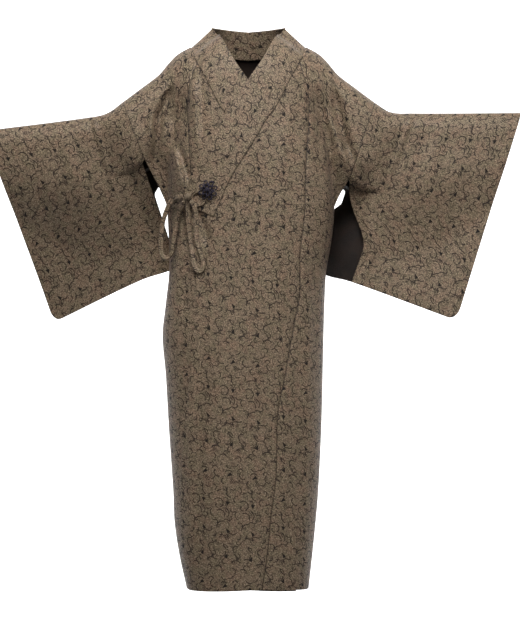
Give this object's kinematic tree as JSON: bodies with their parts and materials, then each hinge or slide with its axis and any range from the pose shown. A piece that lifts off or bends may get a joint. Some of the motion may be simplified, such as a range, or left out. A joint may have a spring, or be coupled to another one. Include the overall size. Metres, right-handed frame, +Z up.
{
  "type": "kimono coat",
  "caption": "Long kimono coat worn closed left over right, with wide open sleeves and a tied side fastening, hollow inside.",
  "frame": {"origin": "middle of the shoulder line, where the wearer's shoulders carry the coat", "axes": "+Z up, -Y the front, +X the wearer's left"},
  "size_m": [1.209, 0.2586, 1.2651],
  "materials": {
    "jacquard_cloth": "fine jacquard weave, soft sheen",
    "tie_cord": "narrow cord of the coat's cloth",
    "flower_cord": "dark twisted cord with a little glint"
  },
  "bodies": {
    "root": {"body_left": "jacquard_cloth", "body_right": "jacquard_cloth", "overlap_left": "jacquard_cloth", "overlap_right": "jacquard_cloth", "collar_left": "jacquard_cloth", "collar_right": "jacquard_cloth", "sleeve_left": "jacquard_cloth", "sleeve_right": "jacquard_cloth", "tie_flower": "flower_cord", "tie_ring": "tie_cord", "tie_bow_knot": "tie_cord", "tie_side_loop": "tie_cord", "tie_front_loop": "tie_cord", "tie_side": "tie_cord", "tie_side_knot": "tie_cord"}
  },
  "joints": []
}
